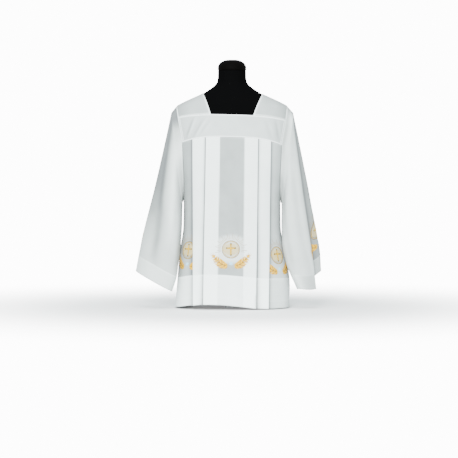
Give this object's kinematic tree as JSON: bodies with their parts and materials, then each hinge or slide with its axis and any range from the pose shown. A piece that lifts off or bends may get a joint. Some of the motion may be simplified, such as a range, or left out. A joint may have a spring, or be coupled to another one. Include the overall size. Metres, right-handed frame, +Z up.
{
  "type": "surplice on a dress form",
  "caption": "White church surplice with a square neck, chest band, pleated skirt and wide sleeves, worn by a black limbless dress form that stands on its base.",
  "frame": {"origin": "middle of the dress form's flat base, on the surface it stands on", "axes": "+X to the wearer's left, +Y to the wearer's back, +Z up; the front faces -Y"},
  "size_m": [0.7435, 0.3256, 0.9893],
  "materials": {
    "cloth": "matte woven, slightly sheer",
    "sleeve_cloth": "matte woven, slightly sheer",
    "form_cover": "matte jersey",
    "neck_cap": "satin"
  },
  "bodies": {
    "root": {"right_shoulder": "cloth", "left_shoulder": "cloth", "front_band": "cloth", "back_band": "cloth", "front_skirt": "cloth", "back_skirt": "cloth", "right_sleeve": "sleeve_cloth", "left_sleeve": "sleeve_cloth", "dress_form": "form_cover", "form_neck_cap": "neck_cap"}
  },
  "joints": []
}
